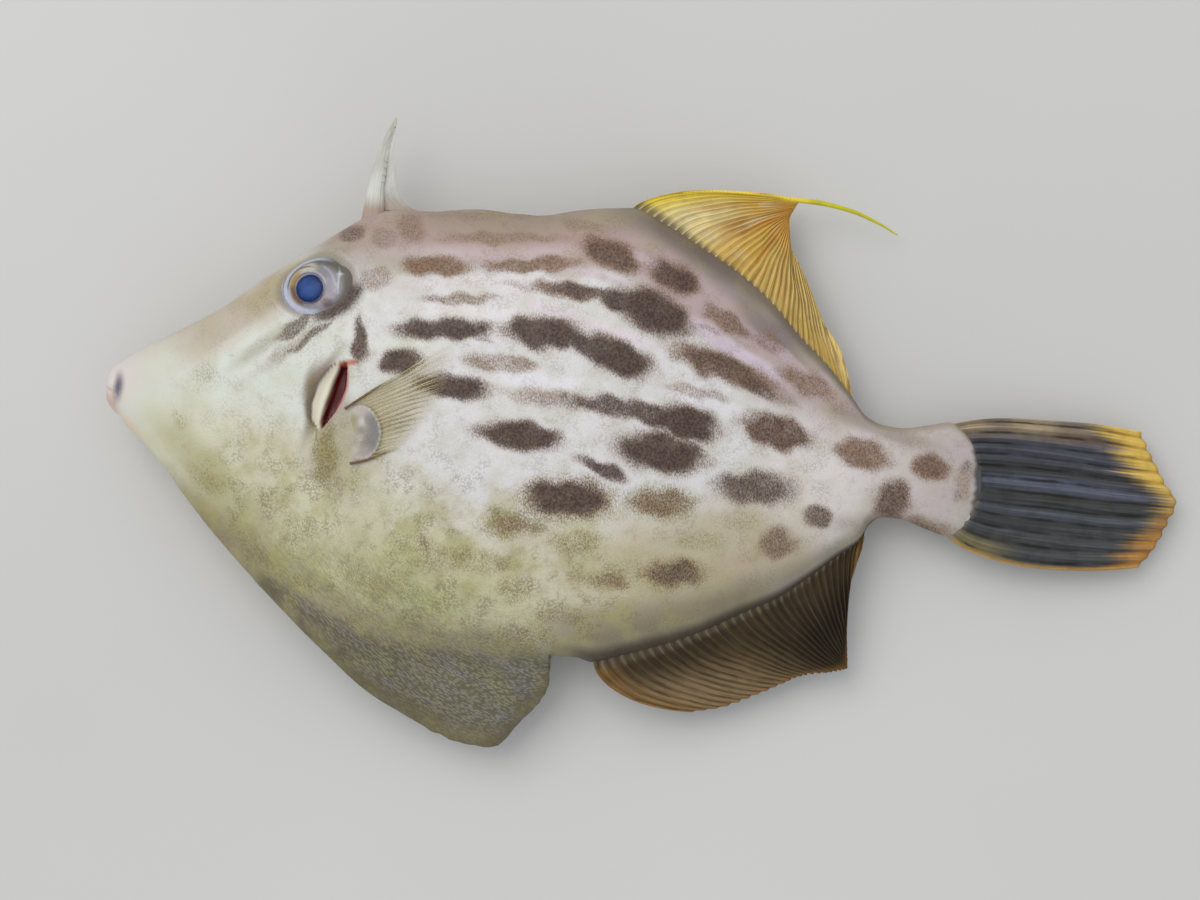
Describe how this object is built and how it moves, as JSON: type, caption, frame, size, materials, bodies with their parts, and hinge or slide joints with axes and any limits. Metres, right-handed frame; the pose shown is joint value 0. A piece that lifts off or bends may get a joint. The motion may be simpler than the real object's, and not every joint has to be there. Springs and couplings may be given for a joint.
{
  "type": "threadsail filefish",
  "caption": "Still, life-size filefish lying on its right flank: flat diamond body, long snout, yellow dorsal fin with a trailing filament, dark anal fin and slate tail fin.",
  "frame": {"origin": "middle of the fish's plan box, on the surface it lies on", "axes": "+X from the snout to the tail, +Y towards the back, +Z out of the left flank, away from the surface it lies on"},
  "size_m": [0.182, 0.1068, 0.0242],
  "materials": {
    "skin": "moist velvet skin, pale grey with brown blotches",
    "flap_skin": "moist granular olive skin",
    "lip_skin": "moist smooth pink skin",
    "eye": "wet clear cornea over a blue pupil",
    "clear_fin": "translucent grey-olive fin",
    "yellow_fin": "translucent golden fin with olive rays",
    "dark_fin": "dark brown fin with pale rays and a golden margin",
    "slate_fin": "slate fin with black creases and an orange rear margin"
  },
  "bodies": {
    "root": {"head": "skin", "trunk": "skin", "caudal_peduncle": "skin", "pelvic_flap": "flap_skin", "upper_lip": "lip_skin", "lower_lip": "lip_skin", "eye_left": "eye", "eye_right": "eye", "first_dorsal_spine": "clear_fin", "dorsal_fin": "yellow_fin", "anal_fin": "dark_fin", "caudal_fin": "slate_fin", "pectoral_fin_left": "clear_fin", "pectoral_fin_right": "clear_fin"}
  },
  "joints": []
}
